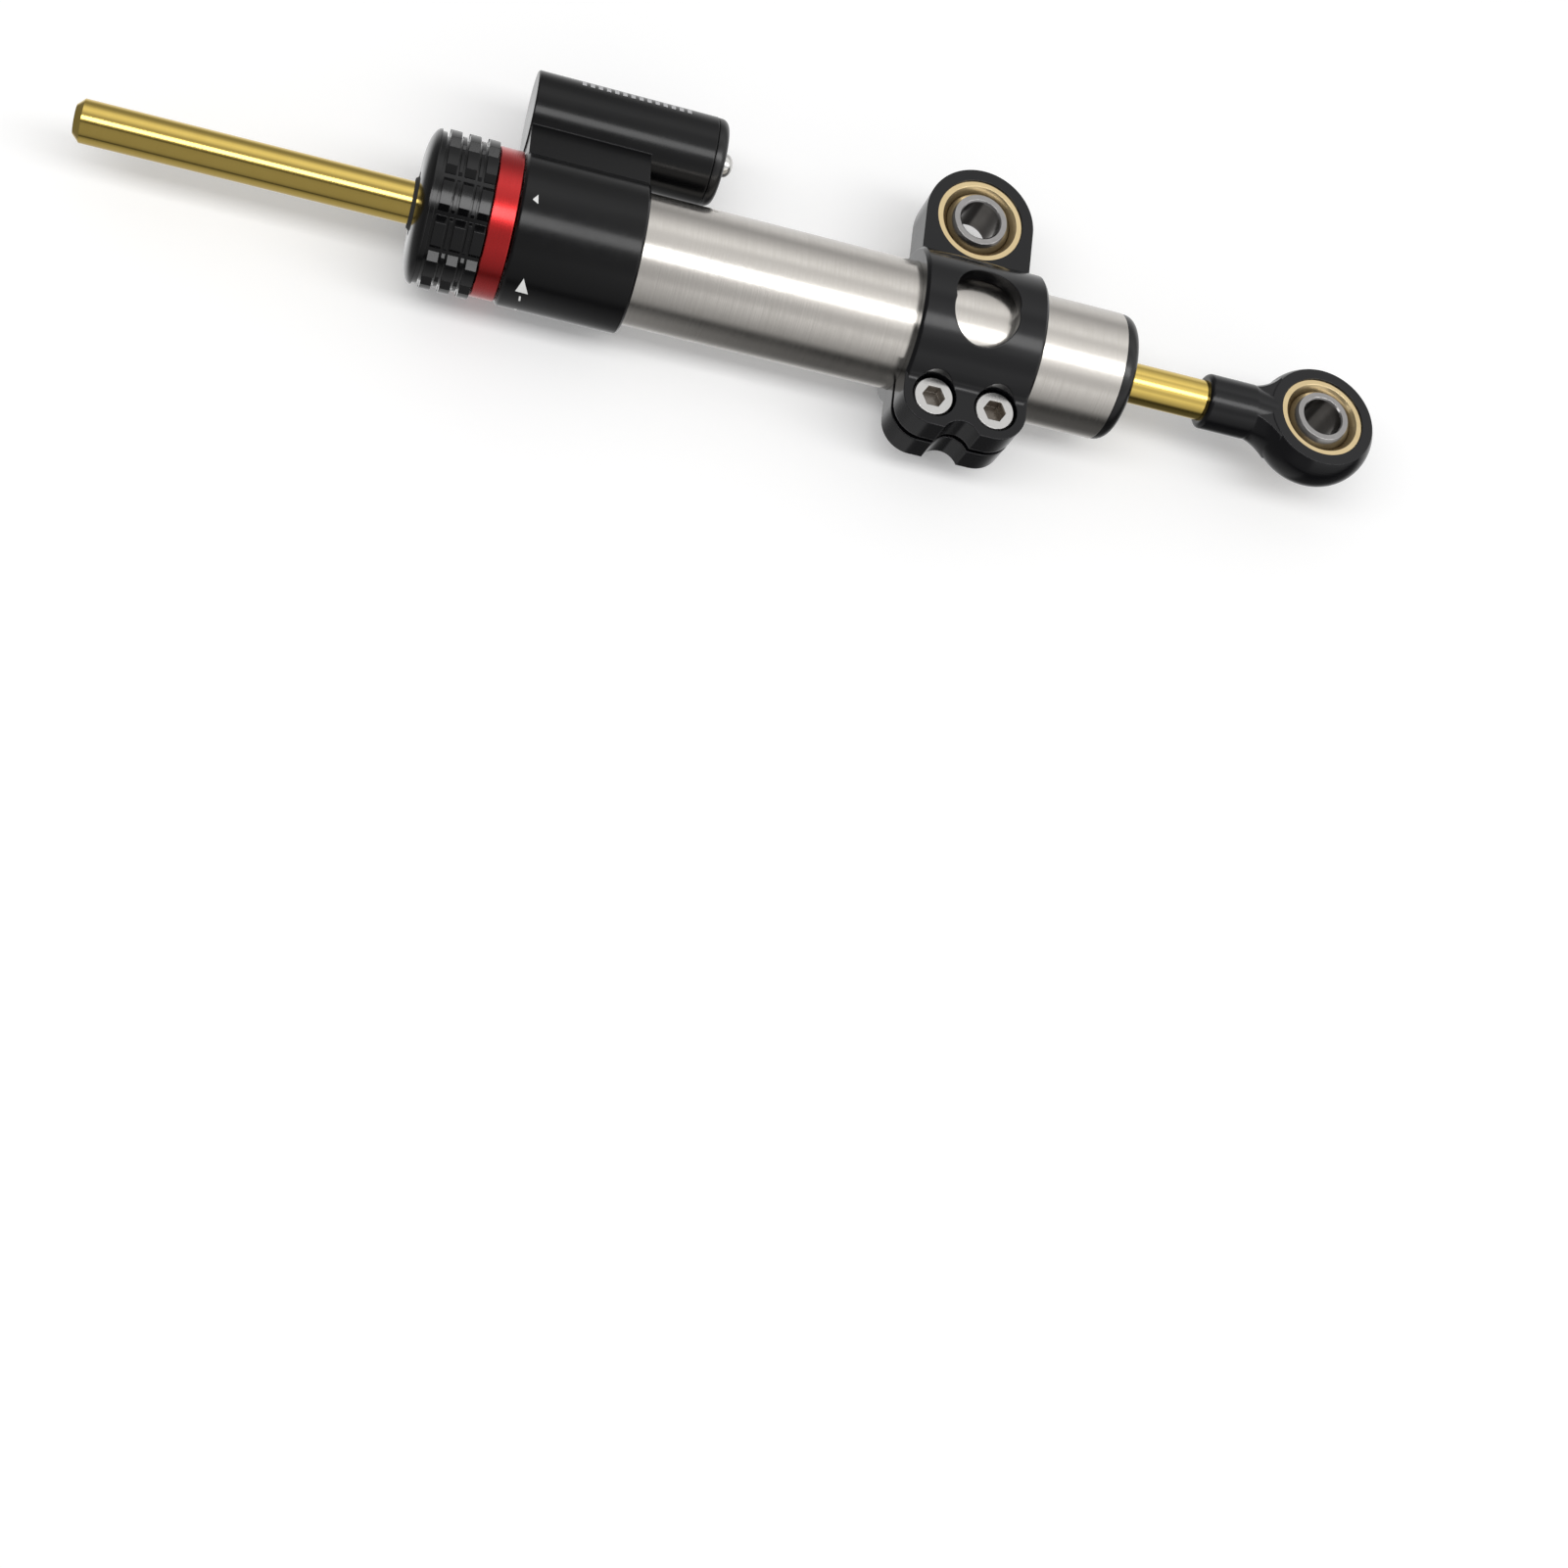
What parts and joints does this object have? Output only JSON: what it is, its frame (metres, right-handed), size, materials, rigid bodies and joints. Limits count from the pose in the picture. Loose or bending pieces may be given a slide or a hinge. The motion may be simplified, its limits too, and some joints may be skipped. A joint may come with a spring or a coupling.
{
  "type": "motorcycle steering damper",
  "caption": "Adjustable linear steering damper: a rod runs through an oil-filled tube that a clamp holds, with an eye at each mounting point, a grip knob and a side reservoir.",
  "frame": {"origin": "centre of the body eye's ball, where the bolt through the clamp passes", "axes": "+X along the rod towards its eye, +Y from the rod towards the body eye and the reservoir, +Z along the body eye's bore"},
  "size_m": [0.2562, 0.0584, 0.031],
  "materials": {
    "tube_steel": "brushed stainless steel",
    "gold_rod": "hard gold-coloured coating, ground smooth",
    "black_anodised": "black anodised",
    "satin_black": "satin black anodised",
    "black_cap": "black anodised, turned",
    "red_anodised": "red anodised",
    "race_brass": "turned brass",
    "ball_steel": "hardened bearing steel",
    "screw_steel": "bright stainless steel",
    "dark_steel": "phosphated spring steel",
    "plain_aluminium": "machined",
    "guide_bronze": "bearing bronze",
    "seal_rubber": "nitrile rubber",
    "ring_plastic": "bronze-filled plastic"
  },
  "bodies": {
    "body_ball": {"clamp_ball": "ball_steel"},
    "clamp": {"clamp": "satin_black", "clamp_race": "race_brass", "clamp_screws": "screw_steel"},
    "barrel": {"outer_tube": "tube_steel", "inner_tube": "plain_aluminium", "head": "black_anodised", "head_oring": "seal_rubber", "front_guide": "guide_bronze", "rear_guide": "guide_bronze", "guide_orings": "seal_rubber", "rod_seals": "seal_rubber", "retaining_ring": "dark_steel", "end_cap": "black_cap", "cap_oring": "seal_rubber", "rear_wiper": "seal_rubber", "reservoir_cap": "black_cap", "reservoir_oring": "seal_rubber", "bleed_screw": "screw_steel", "stop_pin": "screw_steel"},
    "floating_piston": {"floating_piston": "plain_aluminium", "floating_oring": "seal_rubber"},
    "adjuster": {"knob": "black_anodised", "coloured_ring": "red_anodised", "metering_sleeve": "guide_bronze", "sleeve_oring": "seal_rubber", "knob_screws": "dark_steel", "detent_ball": "ball_steel", "detent_spring": "dark_steel", "front_wiper": "seal_rubber"},
    "piston": {"piston": "plain_aluminium", "piston_ring": "ring_plastic"},
    "rod": {"rod": "gold_rod", "rod_circlips": "dark_steel", "rod_end": "satin_black", "rod_end_race": "race_brass"},
    "rod_ball": {"rod_end_ball": "ball_steel"}
  },
  "joints": [
    {"name": "body_eye_swing", "type": "hinge", "parent": "body_ball", "child": "clamp", "pos_m": [0, 0, 0], "axis": [0, 0, 1], "continuous": true},
    {"name": "clamp_slide", "type": "slide", "parent": "clamp", "child": "barrel", "axis": [1, 0, 0], "range_m": [-0.015, 0.037]},
    {"name": "reservoir_slide", "type": "slide", "parent": "barrel", "child": "floating_piston", "axis": [1, 0, 0], "range_m": [-0.0035, 0.0035]},
    {"name": "adjuster_turn", "type": "hinge", "parent": "barrel", "child": "adjuster", "pos_m": [0, -0.0244, 0], "axis": [1, 0, 0], "range_deg": [-150, 150]},
    {"name": "rod_slide", "type": "slide", "parent": "barrel", "child": "piston", "axis": [1, 0, 0], "range_m": [-0.013, 0.052]},
    {"name": "rod_turn", "type": "hinge", "parent": "piston", "child": "rod", "pos_m": [0, -0.0244, 0], "axis": [1, 0, 0], "continuous": true},
    {"name": "rod_eye_swing", "type": "hinge", "parent": "rod", "child": "rod_ball", "pos_m": [0.075, -0.0244, 0], "axis": [0, 0.1045, 0.9945], "continuous": true}
  ]
}
